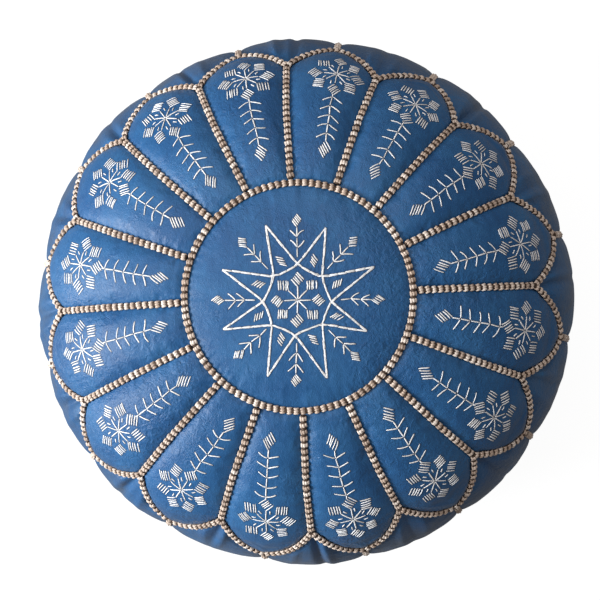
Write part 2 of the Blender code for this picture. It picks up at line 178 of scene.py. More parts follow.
def cover(angle, length, lift=0.0):
    """Points on the cover, or lifted off it, for arrays of angles and lengths."""
    angle, length = np.broadcast_arrays(np.asarray(angle, float), np.asarray(length, float))
    lift = lift + hand_shape(angle, length)
    angle, length = strayed(angle, length)
    radius = radius_at(length) + lift * np.interp(length, LENGTHS, OUTWARD)
    height = np.interp(length, LENGTHS, HEIGHTS) + lift * np.interp(length, LENGTHS, UPWARD)
    return np.stack([radius * np.cos(angle), radius * np.sin(angle), height], axis=-1)


def cover_normal(angle, length):
    out, up = np.interp(length, LENGTHS, OUTWARD), np.interp(length, LENGTHS, UPWARD)
    return np.stack([out * np.cos(angle), out * np.sin(angle), up], axis=-1)


def scallop(angle):
    """Place of the scalloped seam round the petal ends, and how steeply it runs there."""
    climb = 1 - np.abs(2 * np.mod(np.asarray(angle) / STEP, 1.0) - 1)
    quarter = math.pi / 2
    rise = (1 - TIP_SHARPNESS) * np.sin(quarter * climb) + TIP_SHARPNESS * climb
    rate = (1 - TIP_SHARPNESS) * quarter * np.cos(quarter * climb) + TIP_SHARPNESS
    length = PETAL_JUNCTION + (PETAL_TIP - PETAL_JUNCTION) * rise
    steepness = 2 * rate * (PETAL_TIP - PETAL_JUNCTION) / (STEP * radius_at(length))
    return length, steepness


def running_length(points):
    steps = np.linalg.norm(np.diff(points, axis=0), axis=1)
    return np.concatenate([[0], np.cumsum(steps)])


SCALLOP_ANGLES = np.linspace(0, STEP, 600)
SCALLOP_RUN = running_length(cover(SCALLOP_ANGLES, scallop(SCALLOP_ANGLES)[0]))


def stitches_in(total):
    return max(round(total / STITCH_PITCH), 1)


# ---- mesh helpers

def new_object(name, data, location=(0, 0, 0)):
    thing = bpy.data.objects.new(name, data)
    thing.location = location
    bpy.context.scene.collection.objects.link(thing)
    return thing


def new_mesh_object(name, points, faces, *materials):
    mesh = bpy.data.meshes.new(name)
    mesh.from_pydata(np.asarray(points).reshape(-1, 3).tolist(), [], faces)
    mesh.shade_smooth()
    for material in materials:
        mesh.materials.append(material)
    return new_object(name, mesh)


def thicken(piece, gauge=LEATHER):
    solidify = piece.modifiers.new("Thickness", "SOLIDIFY")
    solidify.thickness = gauge
    solidify.offset = -1


def settle(piece, node=None):
    """Rides a piece on the pouf's body and hides its CAD node."""
    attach(piece, "pouf")
    if node:
        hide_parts(node)


def crowded(share):
    """Places from 0 to 1 that stand closer together near both ends."""
    return share - CROWDING * np.sin(2 * math.pi * share) / (2 * math.pi)


def uncrowded(share):
    even = np.linspace(0, 1, 2001)
    return np.interp(share, crowded(even), even)


def circle(sides):
    """Angles evenly round a circle."""
    return np.linspace(0, 2 * math.pi, sides, endpoint=False)


def carried(middle, *parts):
    """Points about each middle: a part is their distances, and the direction these go in."""
    points = middle[..., None, :]
    for distance, direction in parts:
        points = points + distance[..., None] * direction[..., None, :]
    return points


def tube_points(path, across, up, wide, tall, sides):
    turn = circle(sides)
    return carried(path, (wide * np.cos(turn), across), (tall * np.sin(turn), up)).reshape(-1, 3)


def tube_faces(stations, sides, capped=True):
    faces = [(i * sides + j, i * sides + (j + 1) % sides,
              (i + 1) * sides + (j + 1) % sides, (i + 1) * sides + j)
             for i in range(stations - 1) for j in range(sides)]
    if capped:
        faces.append(tuple(range(sides - 1, -1, -1)))
        faces.append(tuple(range((stations - 1) * sides, stations * sides)))
    return faces


def copies(faces, count, size, first=0):
    """The faces of bodies that follow each other, each of the same number of points."""
    return [tuple(first + k * size + corner for corner in face) for k in range(count) for face in faces]


def grid_faces(columns, rows, first=0):
    """Quads of a grid whose points are stored column by column, facing out of the cover."""
    corner = first + np.arange(columns - 1)[:, None] * rows + np.arange(rows - 1)
    quads = np.stack([corner, corner + 1, corner + rows + 1, corner + rows], axis=-1)
    return quads.reshape(-1, 4).tolist()


def turned(x, y, angle):
    """Coordinates of places that are turned by an angle about the origin."""
    return x * np.cos(angle) - y * np.sin(angle), x * np.sin(angle) + y * np.cos(angle)


def unit(vectors):
    return vectors / np.maximum(np.linalg.norm(vectors, axis=-1, keepdims=True), 1e-12)


def grid_normals(grid):
    return unit(np.cross(np.gradient(grid, axis=1), np.gradient(grid, axis=0)))


def bilinear(grid, u, v):
    """Values of a grid at fractional places u and v, each from 0 to 1."""
    x = np.clip(u, 0, 1) * (grid.shape[0] - 1)
    y = np.clip(v, 0, 1) * (grid.shape[1] - 1)
    i = np.minimum(x.astype(int), grid.shape[0] - 2)
    j = np.minimum(y.astype(int), grid.shape[1] - 2)
    x, y = (x - i)[..., None], (y - j)[..., None]
    low = grid[i, j] * (1 - y) + grid[i, j + 1] * y
    high = grid[i + 1, j] * (1 - y) + grid[i + 1, j + 1] * y
    return low * (1 - x) + high * x


def refined(values):
    """A row of points with a point of its smooth cubic curve added in the middle of every step."""
    before, after = 2 * values[:1] - values[1:2], 2 * values[-1:] - values[-2:-1]
    ends = np.concatenate([before, values, after])
    middles = (9 * (ends[1:-2] + ends[2:-1]) - ends[:-3] - ends[3:]) / 16
    inner = np.stack([values[:-1], middles], axis=1).reshape(-1, *values.shape[1:])
    return np.concatenate([inner, values[-1:]])


# ---- leather panels

class Panel:
    """A piece of leather as a grid of points on its outer face, u across and v along it.

    Its size sets how many points it has, and slack is the share of the cloth pass it takes on.
    """

    def __init__(self, name, node, size, swell, slack):
        self.name = name
        self.node = node
        self.slack = slack
        self.columns, self.rows = (round(side / GRID_SPACING) + 1 for side in size)
        self.lay_out()
        lift = np.full(self.angle.shape, swell)
        dip = np.zeros(self.angle.shape)
        for distance, _ in self.edges:
            lift *= 1 - np.exp(-distance / SWELL_REACH)
            dip += np.exp(-distance / DIP_REACH)
        self.grid = cover(self.angle, self.length, lift - SEAM_DIP * np.minimum(dip, 1))

    def folds(self):
        return 0.0

    def lay_out(self):
        u, v = np.meshgrid(np.linspace(0, 1, self.columns), np.linspace(0, 1, self.rows),
                           indexing="ij")
        self.angle, self.length = self.place(crowded(u), crowded(v))
        self.edges = self.edges_near(self.angle, self.length)

    def refine(self):
        """Finer grid with the dimples of the stitches along its edges."""
        self.grid = refined(refined(self.grid).swapaxes(0, 1)).swapaxes(0, 1)
        self.columns, self.rows = self.grid.shape[:2]
        self.lay_out()
        depth = np.zeros(self.angle.shape) - self.folds()
        phase = 5 * self.angle[0, 0]
        for distance, stitch in self.edges:
            turn = 2 * math.pi * stitch
            clear = 1 - np.exp(-distance / DIP_REACH)
            ripple = np.cos(0.43 * turn + phase) * np.cos(0.13 * turn - 2 * phase)
            depth += PUCKER * clear * np.exp(-distance / PUCKER_REACH) * np.cos(turn)
            depth += RIPPLE * clear * np.exp(-distance / RIPPLE_REACH) * ripple
        self.grid = self.grid - depth[..., None] * grid_normals(self.grid)
        self.normals = grid_normals(self.grid)

    def surface(self, angle, length, lift):
        """Points lifted off the finished leather, and its normals there."""
        u, v = (uncrowded(share) for share in self.unplace(angle, length))
        normals = unit(bilinear(self.normals, u, v))
        return bilinear(self.grid, u, v) + lift[..., None] * normals, normals

    def build(self, material):
        """The leather with the distance to its nearest seam at every point, which its material uses for
        painted shade along the seams.
        """
        piece = new_mesh_object(self.name, self.grid, grid_faces(self.columns, self.rows), material)
        nearest = np.min([distance for distance, _ in self.edges], axis=0)
        edge = piece.data.attributes.new("edge", "FLOAT", "POINT")
        edge.data.foreach_set("value", nearest.astype(np.float32).ravel())
        thicken(piece)
        settle(piece, self.node)


def along_seam(distance, run, total):
    """Distance from a seam, and place along it counted in stitches."""
    return distance, run / total * stitches_in(total)


def round_seam(distance, angle, radius):
    ring = 2 * math.pi * radius
    return along_seam(distance, angle / (2 * math.pi) * ring, ring)


def scalloped_seam(side, angle, length, run):
    """The seam round the petal ends, seen from above it (side -1) or below it (side 1)."""
    place, steepness = scallop(angle)
    return along_seam(side * (length - place) / np.hypot(1, steepness), run, SCALLOP_RUN[-1])


class Wedge(Panel):
    """Panel one STEP wide, from the seam above it to the seam below it."""

    def place(self, u, v):
        angle = self.start + u * STEP
        upper, lower = self.ends(angle)
        return angle, upper + v * (lower - upper)

    def unplace(self, angle, length):
        upper, lower = self.ends(angle)
        return (angle - self.start) / STEP, (length - upper) / (lower - upper)

    def side_seams(self, angle, length, start, end):
        radius = radius_at(length)
        return [along_seam(away * radius, length - start, end - start)
                for away in (angle - self.start, self.start + STEP - angle)]


class Petal(Wedge):
    def __init__(self, index):
        self.start = index * STEP
        super().__init__(f"petal_leather_{index + 1:02d}", f"petal_{index + 1:02d}",
                         (0.088, 0.178), PETAL_SWELL, 0.55)

    def ends(self, angle):
        return MEDALLION_SEAM, scallop(angle)[0]

    def edges_near(self, angle, length):
        along = np.interp(angle - self.start, SCALLOP_ANGLES, SCALLOP_RUN)
        return [*self.side_seams(angle, length, MEDALLION_SEAM, PETAL_JUNCTION),
                round_seam(length - MEDALLION_SEAM, angle, radius_at(MEDALLION_SEAM)),
                scalloped_seam(-1, angle, length, along)]


class SidePanel(Wedge):
    def __init__(self, index):
        self.start = (index + 0.5) * STEP
        super().__init__(f"side_leather_{index + 1:02d}", f"side_panel_{index + 1:02d}",
                         (0.100, FOOT_SEAM - PETAL_JUNCTION), SIDE_SWELL, 0.5)

    def folds(self):
        """Gathers that run down from the junction of two petals, each a little different."""
        across = (self.angle - self.start) / STEP - 0.5
        run = self.length - scallop(self.angle)[0]
        held = 1 - np.exp(-np.min([distance for distance, _ in self.edges], axis=0) / 0.006)
        relief = -0.40 * np.exp(-run / 0.022)
        for place, width, depth in FOLDS:
            place = place + RANDOM.normal(0, 0.03) + run / 0.1 * RANDOM.normal(0, 0.08)
            reach = RANDOM.uniform(0.030, 0.060)
            strength = depth * RANDOM.uniform(0.5, 1.2) * np.exp(-(run / reach) ** 1.5)
            relief += strength * np.exp(-((across - place) / width) ** 2)
        return FOLD_DEPTH * relief * held

    def ends(self, angle):
        return scallop(angle)[0], FOOT_SEAM

    def edges_near(self, angle, length):
        along = np.interp(np.mod(angle, STEP), SCALLOP_ANGLES, SCALLOP_RUN)
        return [*self.side_seams(angle, length, PETAL_TIP, FOOT_SEAM),
                round_seam(FOOT_SEAM - length, angle, FOOT_RADIUS),
                scalloped_seam(1, angle, length, along)]


class Medallion(Panel):
    """Round panel on a square grid that is bent to fill the circle."""

    def __init__(self):
        super().__init__("medallion_leather", "top_medallion",
                         (2 * MEDALLION_SEAM, 2 * MEDALLION_SEAM), MEDALLION_SWELL, 0.3)

    def place(self, u, v):
        a, b = 2 * u - 1, 1 - 2 * v
        wide = np.abs(a) > np.abs(b)
        major, minor = np.where(wide, a, b), np.where(wide, b, a)
        turn = minor / np.where(np.abs(major) < 1e-9, 1, major) * math.pi / 4
        angle = np.where(wide, turn, math.pi / 2 - turn) + np.where(major < 0, math.pi, 0)
        return angle, np.abs(major) * MEDALLION_SEAM

    def unplace(self, angle, length):
        share = length / MEDALLION_SEAM
        quarter = np.round(angle / (math.pi / 2))
        turn = (angle - quarter * math.pi / 2) / (math.pi / 4) * share
        a, b = turned(share, turn, quarter * math.pi / 2)
        return (a + 1) / 2, (1 - b) / 2

    def edges_near(self, angle, length):
        return [round_seam(MEDALLION_SEAM - length, angle, radius_at(MEDALLION_SEAM))]


def border(columns, rows):
    index = np.arange(columns * rows).reshape(columns, rows)
    return np.unique(np.concatenate([index[0], index[-1], index[:, 0], index[:, -1]]))


def fill_out(panels):
    """Cloth pass: the leather is held at its seams and pressed outwards by the stuffing."""
    points = np.concatenate([panel.grid.reshape(-1, 3) for panel in panels])
    faces, pinned, first = [], [], 0
    for panel in panels:
        faces += grid_faces(panel.columns, panel.rows, first)
        pinned += (first + border(panel.columns, panel.rows)).tolist()
        first += panel.columns * panel.rows
    cloth_piece = new_mesh_object("cover_cloth", points, faces)
    cloth_piece.vertex_groups.new(name="seams").add(pinned, 1.0, "REPLACE")
    cloth = cloth_piece.modifiers.new("Cloth", "CLOTH")
    settings = {"vertex_group_mass": "seams", "quality": 5, "mass": 0.4, "tension_stiffness": 30,
                "compression_stiffness": 30, "shear_stiffness": 12, "bending_stiffness": 1.5,
                "use_pressure": True, "uniform_pressure_force": 4, "shrink_min": -CLOTH_GROWTH}
    for name, value in settings.items():
        setattr(cloth.settings, name, value)
    cloth.settings.effector_weights.gravity = 0
    cloth.collision_settings.use_collision = False
    cloth.point_cache.frame_end = CLOTH_FRAMES
    for step in range(1, CLOTH_FRAMES + 1):
        bpy.context.scene.frame_set(step)
    shape = cloth_piece.evaluated_get(bpy.context.evaluated_depsgraph_get()).data
    settled = np.zeros(len(points) * 3, np.float32)
    shape.vertices.foreach_get("co", settled)
    bpy.data.objects.remove(cloth_piece, do_unlink=True)
    bpy.context.scene.frame_set(1)
    moved = settled.reshape(-1, 3) - points
    reach = np.linalg.norm(moved, axis=1, keepdims=True)
    moved *= CLOTH_CAP * np.tanh(reach / CLOTH_CAP) / np.maximum(reach, 1e-9)
    ends = np.cumsum([panel.columns * panel.rows for panel in panels])
    for panel, own in zip(panels, np.split(moved, ends[:-1])):
        panel.grid = panel.grid + panel.slack * own.reshape(panel.grid.shape)


# ---- sewn cord

class Seam:
    """Line of stitches along arrays of angles and lengths on the cover."""

    def __init__(self, angle, length, lift, closed=False):
        angle, length = np.broadcast_arrays(angle, length)
        self.points = cover(angle, length, lift)
        self.normals = cover_normal(angle, length)
        self.run = running_length(self.points)
        self.closed = closed

    def at(self, run):
        points, normals = (np.stack([np.interp(run, self.run, line[:, k]) for k in range(3)], -1)
                           for line in (self.points, self.normals))
        return points, unit(normals)

    def frames(self, runs):
        """Middle, direction along, direction across and normal at places along the seam."""
        step = 0.0008
        points, normals = self.at(runs)
        ahead, behind = self.at(runs + step)[0], self.at(runs - step)[0]
        along = unit(ahead - behind)
        across = unit(np.cross(normals, along))
        return points, along, across, np.cross(along, across)

    def stitch_frames(self):
        count = stitches_in(self.run[-1])
        return self.frames((np.arange(count) + 0.5) / count * self.run[-1])


def strand_template(sides=6, stations=6):
    """One fat strand of a stitch along x, thinner at its ends, and its faces."""
    place = np.linspace(-1, 1, stations)
    thick = np.sqrt(np.clip(1 - 0.82 * np.abs(place) ** 3.2, 0, 1))
    points = [(x, size * math.cos(a), size * math.sin(a))
              for x, size in zip(place, thick) for a in circle(sides)]
    return np.array(points), tube_faces(stations, sides)


STRAND_POINTS, STRAND_FACES = strand_template()
STRAND_PLACES = ((-0.00195, 0.0013), (0.0, 0.0020), (0.00195, 0.0013))


def sew(seams, tints):
    """Points, faces and tint of every strand of every stitch of some seams."""
    middle, along, across, normal = (
        np.concatenate(kind) for kind in zip(*(seam.stitch_frames() for seam in seams)))
    count = len(middle)
    length = STITCH_PITCH * 0.5 * RANDOM.uniform(0.82, 0.95, count)
    skew = RANDOM.normal(0.16, 0.10, count)
    width = RANDOM.uniform(0.93, 1.07, count)
    height = RANDOM.uniform(0.88, 1.12, count)
    tint = RANDOM.choice(len(tints), count, p=tints)
    meshes = []
    x, y, z = STRAND_POINTS.T
    for side, rise in STRAND_PLACES:
        swell = STRAND_RADIUS * RANDOM.uniform(0.92, 1.08, (count, 1))
        own_x = x * length[:, None]
        own_y = side * width[:, None] * (1 + 0.10 * np.abs(x)) + y * swell
        own_z = (rise - STRAND_DIVE * np.abs(x) ** 2.4) * height[:, None] + z * swell
        own_x, own_y = turned(own_x, own_y, skew[:, None])
        meshes.append(carried(middle, (own_x, along), (own_y, across), (own_z, normal)))
    points = np.stack(meshes, axis=1).reshape(-1, 3)
    faces = copies(STRAND_FACES, count * len(STRAND_PLACES), len(STRAND_POINTS))
    return points, faces, np.repeat(tint, len(STRAND_PLACES) * len(STRAND_FACES)).tolist()


def core_tube(seam, sides=8, spacing=0.005):
    """Body of the cord under the stitches, closed at its ends; its dark colour is painted shade in the
    gaps between the stitches.
    """
    places = np.linspace(0, seam.run[-1], max(int(seam.run[-1] / spacing), 8))
    middle, _, across, normal = seam.frames(places)
    if seam.closed:
        middle[-1], across[-1], normal[-1] = middle[0], across[0], normal[0]
    points = tube_points(middle, across, normal, 1.25 * CORE_RADIUS, CORE_RADIUS, sides)
    return points, tube_faces(len(places), sides, capped=not seam.closed)


def build_cord(name, node, seams, threads, core, weights):
    """Stitches over a core along some seams, the core dark as painted shade between the stitches; the
    weights are the shares of the threads.
    """
    points, faces, chosen = sew(seams, weights)
    all_points, first = [points], len(points)
    for seam in seams:
        core_points, core_faces = core_tube(seam)
        all_points.append(core_points)
        faces += copies(core_faces, 1, 0, first)
        chosen += [len(threads)] * len(core_faces)
        first += len(core_points)
    all_points = np.concatenate(all_points)
    all_points[:, 2] = np.maximum(all_points[:, 2], CORD_FLOOR)
    piece = new_mesh_object(name, all_points, faces, *threads, core)
    piece.data.polygons.foreach_set("material_index", chosen)
    settle(piece, node)


def ring_seam(length, lift):
    return Seam(np.linspace(0, 2 * math.pi, 400), length, lift, closed=True)


def build_cords(*yarn):
    build_cord("medallion_cord", "medallion_seam", [ring_seam(MEDALLION_SEAM, CORD_LIFT)], *yarn)
    clear = CORD_HALF_WIDTH + 0.0006
    outward = np.linspace(MEDALLION_SEAM + clear, PETAL_JUNCTION - 0.002, 60)
    petal_seams = []
    for i in range(PETALS):
        petal_seams.append(Seam(i * STEP, outward, CORD_LIFT))
        angle = np.linspace(i * STEP, (i + 1) * STEP, 80)
        petal_seams.append(Seam(angle, scallop(angle)[0], CORD_LIFT))
    build_cord("petal_cords", "petal_seams", petal_seams, *yarn)
    side_seams = [ring_seam(FOOT_SEAM - 0.0005, 0.0)]
    down = np.linspace(PETAL_TIP + clear, FOOT_SEAM - clear, 60)
    sunk = CORD_LIFT - SIDE_CORD_SINK * (1 - np.exp(-(down - down[0]) / 0.006))
    for i in range(PETALS):
        side_seams.append(Seam((i + 0.5) * STEP, down, sunk))
    build_cord("side_cords", "side_seams", side_seams, *yarn)


# ---- embroidery

# A place on the flat leather is a complex number, and a stitch is its two ends and its bow.

def polar(radius, angle, middle=0):
    return middle + radius * cmath.exp(1j * angle)


def jitter(size):
    return complex(*RANDOM.normal(0, size, 2))


def patch(middle, direction, stitches, length, spread, lean):
    """Parallel stitches side by side along a direction, each leaning by an angle from it."""
    along = polar(spread, direction)
    slant = direction + lean + RANDOM.normal(0, 0.05)
    made = []
    for k in range(stitches):
        centre = middle + along * (k - (stitches - 1) / 2) + jitter(0.00015)
        half = polar(length / 2 * RANDOM.uniform(0.9, 1.06), slant + RANDOM.normal(0, 0.03))
        made.append((centre - half, centre + half, RANDOM.normal(0, 0.0002)))
    return made


def rhombus(middle, direction, side, half_angle=math.radians(43)):
    """Patch with a corner towards the place that its direction comes from."""
    stitches = 5
    lean = RANDOM.choice([-1, 1]) * half_angle
    return patch(middle, direction + lean, stitches, side, side * 0.87 / (stitches - 1), -2 * lean)


def flake(middle, ray, reach, side, turn=0.0):
    """Rays with a patch at the end of each."""
    made = []
    for k in range(RAYS):
        direction = turn + k * RAY_STEP + RANDOM.normal(0, 0.03)
        start = middle + jitter(0.0002)
        made.append((start, polar(ray * RANDOM.uniform(0.95, 1.05), direction, middle), 0))
        made += rhombus(polar(reach, direction, middle), direction, side * RANDOM.uniform(0.92, 1.05))
    return made


def twig(foot, tip, nodes, barb, lean):
    """Stem from foot to tip with a pair of barbs at each node, leaning towards the tip."""
    direction = cmath.phase(tip - foot)
    places = [foot, *(foot + (tip - foot) * share + jitter(0.0004) for share in nodes), tip]
    made = [(a, b, 0) for a, b in zip(places, places[1:])]
    leans = {side: lean + RANDOM.normal(0, 0.10) for side in (-1, 1)}
    for place in places[1:-1]:
        for side in (-1, 1):
            away = direction + side * (leans[side] + RANDOM.normal(0, 0.07))
            start = place + jitter(0.0002)
            end = polar(barb * RANDOM.uniform(0.88, 1.1), away, place)
            made.append((start, end, RANDOM.normal(0, 0.0005)))
    return made


def petal_motif():
    """Snowflake near the petal's end and a barbed twig towards the medallion; 1j points out."""
    made = flake(0, ray=0.0134, reach=0.0204, side=0.0112, turn=math.pi / 2)
    for k in range(RAYS):
        between = math.pi / 2 + (k + 0.5) * RAY_STEP
        made.append((polar(0.0100, between), polar(0.0142, between + 0.12), 0))
    made += twig(-0.0258j, -0.0772j, (0.07, 0.27, 0.46, 0.65, 0.84), barb=0.0114,
                 lean=math.radians(69))
    made += rhombus(-0.0848j, -math.pi / 2, side=0.0116, half_angle=math.radians(35))
    return made


def run_of_stitches(points, length=0.0088, width=0.00036):
    """Two threads of back stitch side by side along a line."""
    run = running_length(points[:, None])
    made = []
    for side in (-1, 1):
        count = max(round(run[-1] / length), 1)
        cuts = np.linspace(0, run[-1], count + 1)
        cuts[1:-1] += RANDOM.normal(0, 0.0008, count - 1)
        place = np.interp(cuts, run, points)
        for a, b in zip(place, place[1:]):
            shift = 1j * (b - a) / abs(b - a) * side * width
            over = (b - a) * 0.06
            made.append((a + shift - over + jitter(0.00015), b + shift + over + jitter(0.00015), 0))
    return made


def star_line(tips, crossings, k):
    """Line from a tip of the star over two crossings to the next tip but one."""
    first, second = crossings[k], crossings[(k + 1) % RAYS]
    middle = (first + second) / 2 * 0.955
    bend = [first * (1 - t) ** 2 + 2 * middle * t * (1 - t) + second * t ** 2
            for t in np.linspace(0, 1, 7)]
    return np.array([tips[k], *bend, tips[(k + 2) % RAYS]])


def medallion_motif():
    """Eight-pointed star with a snowflake inside it and twigs between its points."""
    made = flake(0, ray=0.0130, reach=0.0188, side=0.0096)
    tips = [polar(0.0740, (k + 0.5) * RAY_STEP) + jitter(0.0016) for k in range(RAYS)]
    crossings = [polar(0.0318, (k + 1) * RAY_STEP) + jitter(0.0009) for k in range(RAYS)]
    for k in range(RAYS):
        made += run_of_stitches(star_line(tips, crossings, k))
        tip = (k + 0.5) * RAY_STEP
        made += patch(polar(0.0385, tip), tip, stitches=4, length=0.0080, spread=0.0024,
                      lean=math.radians(56))
        out = k * RAY_STEP + RANDOM.normal(0, 0.02)
        made += twig(polar(0.0385, out), polar(0.0670, out), (0.33, 0.66), barb=0.0108,
                     lean=math.radians(42))
        made += rhombus(polar(0.0730, out), out, side=0.0084, half_angle=math.radians(37))
    turn = cmath.exp(1j * STAR_TURN)
    return [(start * turn + STAR_SHIFT, end * turn + STAR_SHIFT, bow) for start, end, bow in made]


PLY_TURN = 0.0030  # length of thread in which its two plies change places
THREAD_STATIONS = 10
THREAD_SIDES = 6
SEAT_RISE = 0.00005  # dark strips beside the stitches: painted shadow of the raised thread on the leather it presses in
SEAT_MARGIN = 0.00042


def build_embroidery(name, stitches, panel, to_cover, threads, weights):
    """Raised stitches of two-ply thread over a panel, each going into the leather at its ends."""
    start, end, bow = np.array(stitches).T[..., None]
    t = np.linspace(0, 1, THREAD_STATIONS)
    run, arch = end - start, np.sin(math.pi * t)
    size = np.abs(run)
    angle, length = to_cover(start + run * t + 1j * run / size * bow * arch)
    rise = THREAD_HEIGHT * (0.75 * np.broadcast_to(arch, angle.shape) ** 0.35 - 0.45)
    middle, normals = panel.surface(angle, length, rise)
    along = unit(np.gradient(middle, axis=1))
    across = unit(np.cross(normals, along))
    normals = np.cross(along, across)
    corner = circle(THREAD_SIDES)
    count = len(stitches)
    width = RANDOM.uniform(0.85, 1.15, (count, 1)) * THREAD_WIDTH / 2
    taper = 0.55 + 0.45 * arch ** 0.4
    twist = math.pi * size / PLY_TURN * t
    ply = taper[:, None] * (1 + 0.16 * np.cos(2 * (corner - twist[..., None])))
    wide = width[..., None] * ply * np.cos(corner)
    tall = THREAD_HEIGHT / 2 * ply * np.sin(corner)
    points = carried(middle, (wide, across), (tall, normals)).reshape(-1, 3)
    one = tube_faces(THREAD_STATIONS, THREAD_SIDES)
    faces = copies(one, count, THREAD_STATIONS * THREAD_SIDES)
    tint = RANDOM.choice(len(weights), count, p=weights)
    chosen = np.repeat(tint, len(one)).tolist()
    # The last material goes on dark strips under and beside each stitch: painted shadow of the raised
    # thread.
    seat, _ = panel.surface(angle, length, np.full(angle.shape, SEAT_RISE))
    out = (width * taper + SEAT_MARGIN)[..., None]
    edges = [seat + out * across, seat + SEAT_RISE * normals, seat - out * across]
    strip = [(a, a + 1, a + 4, a + 3) for i in range(THREAD_STATIONS - 1) for a in (3 * i, 3 * i + 1)]
    seat_faces = copies(strip, count, THREAD_STATIONS * 3, len(points))
    points = np.concatenate([points, np.stack(edges, axis=2).reshape(-1, 3)])
    faces += seat_faces
    chosen += [len(weights)] * len(seat_faces)
    piece = new_mesh_object(name, points, faces, *threads)
    piece.data.polygons.foreach_set("material_index", chosen)
    settle(piece)


def embroider_petal(index, panel, threads, weights):
    """Sews the petal's motif, a little off its place and askew, as a hand would."""
    axis = (index + 0.5) * STEP
    place = FLAKE_PLACE + FLAKE_SLIP[0] * math.cos(axis) + FLAKE_SLIP[1] * math.cos(2 * axis)
    axis -= FLAKE_TURN * (1 + math.sin(axis))
    tilt = RANDOM.normal(0, math.radians(2.0))
    shift = jitter(0.0012)

    def to_cover(flat):
        flat = flat * cmath.exp(1j * tilt) + shift
        wanted = place + flat.imag
        slip = wanted - strayed(axis, wanted)[1]
        return axis - flat.real / radius_at(wanted), wanted + slip

    build_embroidery(f"petal_embroidery_{index + 1:02d}", petal_motif(), panel, to_cover,
                     threads, weights)


def embroider_medallion(panel, threads, weights):
    def to_cover(flat):
        return np.angle(flat), np.abs(flat)

    stitches = medallion_motif()
    build_embroidery("medallion_embroidery", stitches, panel, to_cover, threads, weights)


# ---- base

ZIP_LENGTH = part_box("zip_top_stop_front")[1].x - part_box("zip_bottom_stop")[0].x
RECESS_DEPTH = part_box("zip_tape_front")[0].z - GAP - LEATHER
TAPE_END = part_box("zip_tape_front")[1].x
SLOT_HALF = 0.006  # half width of the zip's window in the base
BASE_CREASE = 0.00035
RIM_LIFT = 0.0022  # the leather turns up towards the foot seam and towards the zip
SLOT_LIFT = 0.00048
TAPE_GAUGE = 0.00055


def smooth_step(value, start, end):
    share = np.clip((value - start) / (end - start), 0, 1)
    return share * share * (3 - 2 * share)


def base_height(x, y):
    """Underside of the base: on the floor at its edge, hollowed along the zip."""
    across = 1 - smooth_step(np.abs(y), 0.012, 0.045)
    along = 1 - smooth_step(np.abs(x), TAPE_END, FOOT_RADIUS - SEAM_MARGIN)
    return RECESS_DEPTH * across * along


def slot_edge(x):
    """Half width of the slot between the base halves: the zip's window, then nearly shut."""
    shut = smooth_step(np.abs(x), ZIP_LENGTH / 2 + 0.001, ZIP_LENGTH / 2 + 0.008)
    return SLOT_HALF + shut * (GAP - SLOT_HALF)


def build_base_half(name, node, side, leather):
    """Half disc of leather under the pouf, with soft creases and the dimples of its stitches."""
    rim = FOOT_RADIUS - 0.0020
    corner = math.sqrt(rim ** 2 - GAP ** 2)
    bend = np.linspace(-1, 1, 150)
    x = corner * (1.35 * bend - 0.35 * bend ** 3)
    share = np.linspace(1, 0, 52)
    inner = slot_edge(x)[:, None]
    outer = np.maximum(np.sqrt(np.maximum(rim ** 2 - x ** 2, 0))[:, None], inner)
    y = inner + (outer - inner) * share ** 1.1
    x = np.broadcast_to(x[:, None], y.shape)
    away = FOOT_RADIUS - np.hypot(x, y)
    crease = np.sin(70 * x + 3 * np.sin(45 * y + 2)) * np.sin(52 * y - 18 * x + 1)
    height = base_height(x, y) + BASE_CREASE * (1 + crease) * (1 - np.exp(-away / 0.012))
    turns = 2 * math.pi * FOOT_RADIUS
    stitch_place = np.arctan2(side * y, x) / (2 * math.pi) * stitches_in(turns)
    height += PUCKER * np.exp(-away / 0.005) * (1 + np.cos(2 * math.pi * stitch_place))
    height += RIM_LIFT * np.exp(-away / 0.0025)
    height += SLOT_LIFT * np.exp(-(np.abs(y) - inner) / 0.0012)
    grid = np.stack([x, side * y, height], axis=-1)
    if side > 0:
        grid = grid[::-1]
    piece = new_mesh_object(name, grid, grid_faces(*grid.shape[:2]), leather)
    weld_and_thicken(piece)
    settle(piece, node)


def weld_and_thicken(piece):
    """Joins the points that meet at the ends of the half disc, then gives it the leather's gauge."""
    work = bmesh.new()
    work.from_mesh(piece.data)
    bmesh.ops.remove_doubles(work, verts=work.verts, dist=0.00002)
    work.to_mesh(piece.data)
    work.free()
    thicken(piece)


def build_zip_stitching(thread):
    """Machine stitches that hold the leather to the zip's tapes, two rows on each side."""
    half, pitch, length, radius = ZIP_LENGTH / 2 + 0.002, 0.0034, 0.0027, 0.00042
    x = np.arange(-half, half, pitch)
    rows = []
    for side in (-1, 1):
        for offset in (0.0024, 0.0052):
            y = side * (SLOT_HALF + offset)
            rows.append(np.stack([x, np.full(x.shape, y), base_height(x, y) + 0.00030], axis=-1))
    middle = np.concatenate(rows)
    x, y, z = STRAND_POINTS.T
    one = np.stack([x * length / 2, -y * radius, (0.6 * np.abs(x) ** 3 - z) * radius], axis=-1)
    faces = copies(STRAND_FACES, len(middle), len(one))
    piece = new_mesh_object("zip_stitching", middle[:, None] + one, faces, thread)
    settle(piece)


# ---- zip

